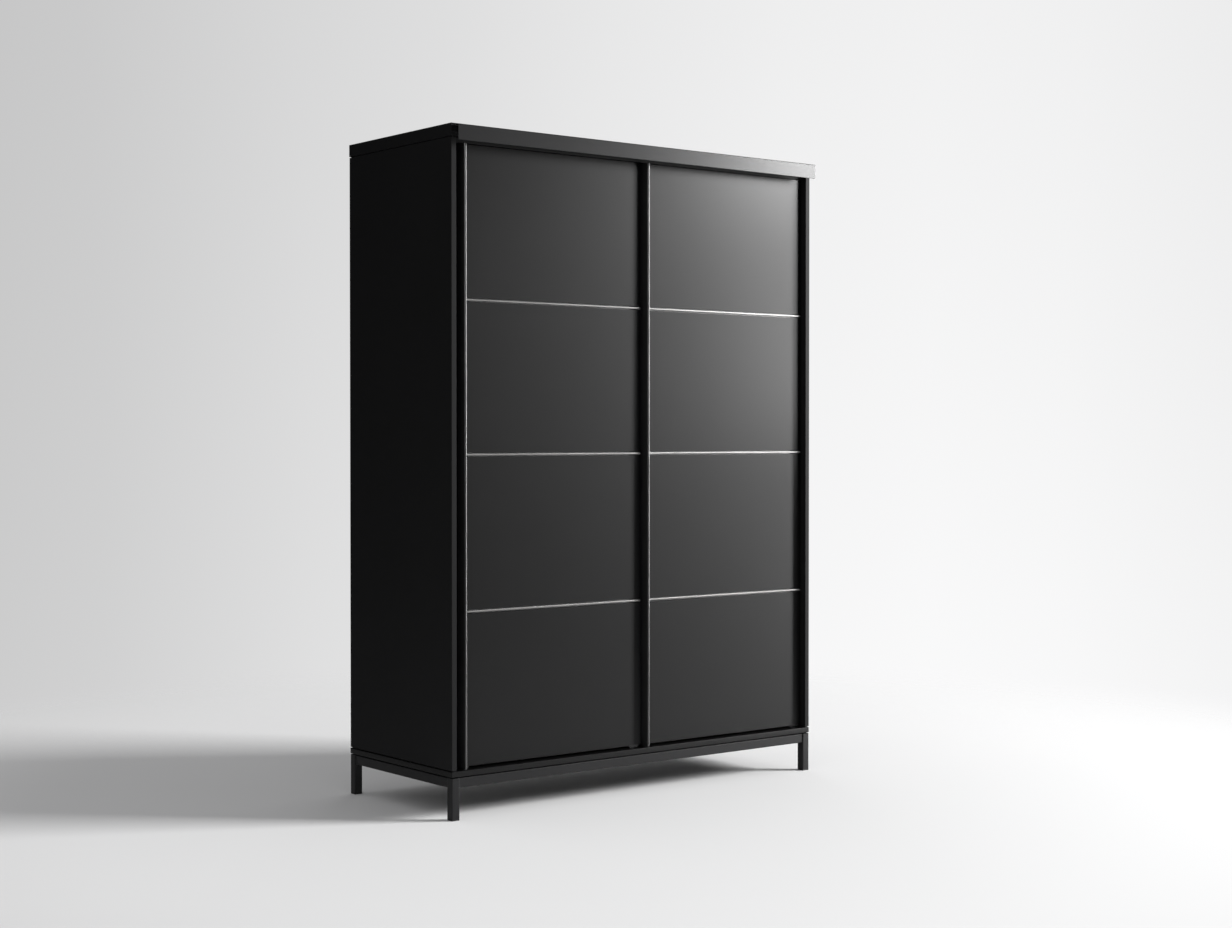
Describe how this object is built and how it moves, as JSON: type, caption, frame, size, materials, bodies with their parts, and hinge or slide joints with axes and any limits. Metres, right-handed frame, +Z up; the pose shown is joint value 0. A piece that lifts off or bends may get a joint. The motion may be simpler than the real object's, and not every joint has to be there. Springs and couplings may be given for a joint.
{
  "type": "wardrobe",
  "caption": "Free-standing black wardrobe on a tube base, with panelled hinged doors, full-height edge grips, a folded top fascia, shelves and a hanging rail",
  "frame": {"origin": "on the floor, under the middle of the bounding box", "axes": "+X to the right as a person faces the doors, +Y to the back, +Z up"},
  "size_m": [1.483, 0.6274, 2.1],
  "materials": {
    "carcass_lacquer": "satin black lacquer",
    "door_lacquer": "satin black lacquer",
    "interior_laminate": "matt charcoal laminate",
    "base_steel": "black powder coat",
    "fascia_steel": "satin black powder coat",
    "grip_aluminium": "black anodised, satin",
    "bead_aluminium": "dark anodised, satin",
    "black_plastic": "moulded",
    "bright_steel": "satin"
  },
  "bodies": {
    "carcass": {"left_side_panel": "carcass_lacquer", "right_side_panel": "carcass_lacquer", "top_board": "carcass_lacquer", "bottom_board": "carcass_lacquer", "left_jamb_strip": "carcass_lacquer", "top_filler": "carcass_lacquer", "back_panel": "interior_laminate", "centre_partition": "interior_laminate", "left_top_shelf": "interior_laminate", "right_shelf_1": "interior_laminate", "right_shelf_2": "interior_laminate", "right_shelf_3": "interior_laminate", "right_shelf_4": "interior_laminate", "hanging_rail": "bright_steel", "hanging_rail_left_socket": "bright_steel", "hanging_rail_right_socket": "bright_steel", "fascia": "fascia_steel", "front_left_leg": "base_steel", "front_right_leg": "base_steel", "back_left_leg": "base_steel", "back_right_leg": "base_steel", "front_base_rail": "base_steel", "back_base_rail": "base_steel", "left_base_rail": "base_steel", "right_base_rail": "base_steel", "front_left_glide": "black_plastic", "front_right_glide": "black_plastic", "back_left_glide": "black_plastic", "back_right_glide": "black_plastic", "left_door_bottom_pivot": "bright_steel", "left_door_top_pivot": "bright_steel", "left_door_catch": "black_plastic", "right_door_bottom_pivot": "bright_steel", "right_door_top_pivot": "bright_steel", "right_door_catch": "black_plastic"},
    "left_door": {"left_door_grip_stile": "grip_aluminium", "left_door_hinge_stile": "grip_aluminium", "left_door_top_rail": "grip_aluminium", "left_door_bottom_rail": "grip_aluminium", "left_door_panel_1": "door_lacquer", "left_door_panel_2": "door_lacquer", "left_door_panel_3": "door_lacquer", "left_door_panel_4": "door_lacquer", "left_door_bead_1": "bead_aluminium", "left_door_bead_2": "bead_aluminium", "left_door_bead_3": "bead_aluminium", "left_door_strike": "bright_steel"},
    "right_door": {"right_door_grip_stile": "grip_aluminium", "right_door_hinge_stile": "grip_aluminium", "right_door_top_rail": "grip_aluminium", "right_door_bottom_rail": "grip_aluminium", "right_door_panel_1": "door_lacquer", "right_door_panel_2": "door_lacquer", "right_door_panel_3": "door_lacquer", "right_door_panel_4": "door_lacquer", "right_door_bead_1": "bead_aluminium", "right_door_bead_2": "bead_aluminium", "right_door_bead_3": "bead_aluminium", "right_door_strike": "bright_steel"}
  },
  "joints": [
    {"name": "left_door_hinge", "type": "hinge", "parent": "carcass", "child": "left_door", "pos_m": [-0.0138, -0.24725, 1.1], "axis": [0, 0, 1], "range_deg": [0, 95]},
    {"name": "right_door_hinge", "type": "hinge", "parent": "carcass", "child": "right_door", "pos_m": [0.6987, -0.24725, 1.1], "axis": [0, 0, 1], "range_deg": [0, 95]}
  ]
}
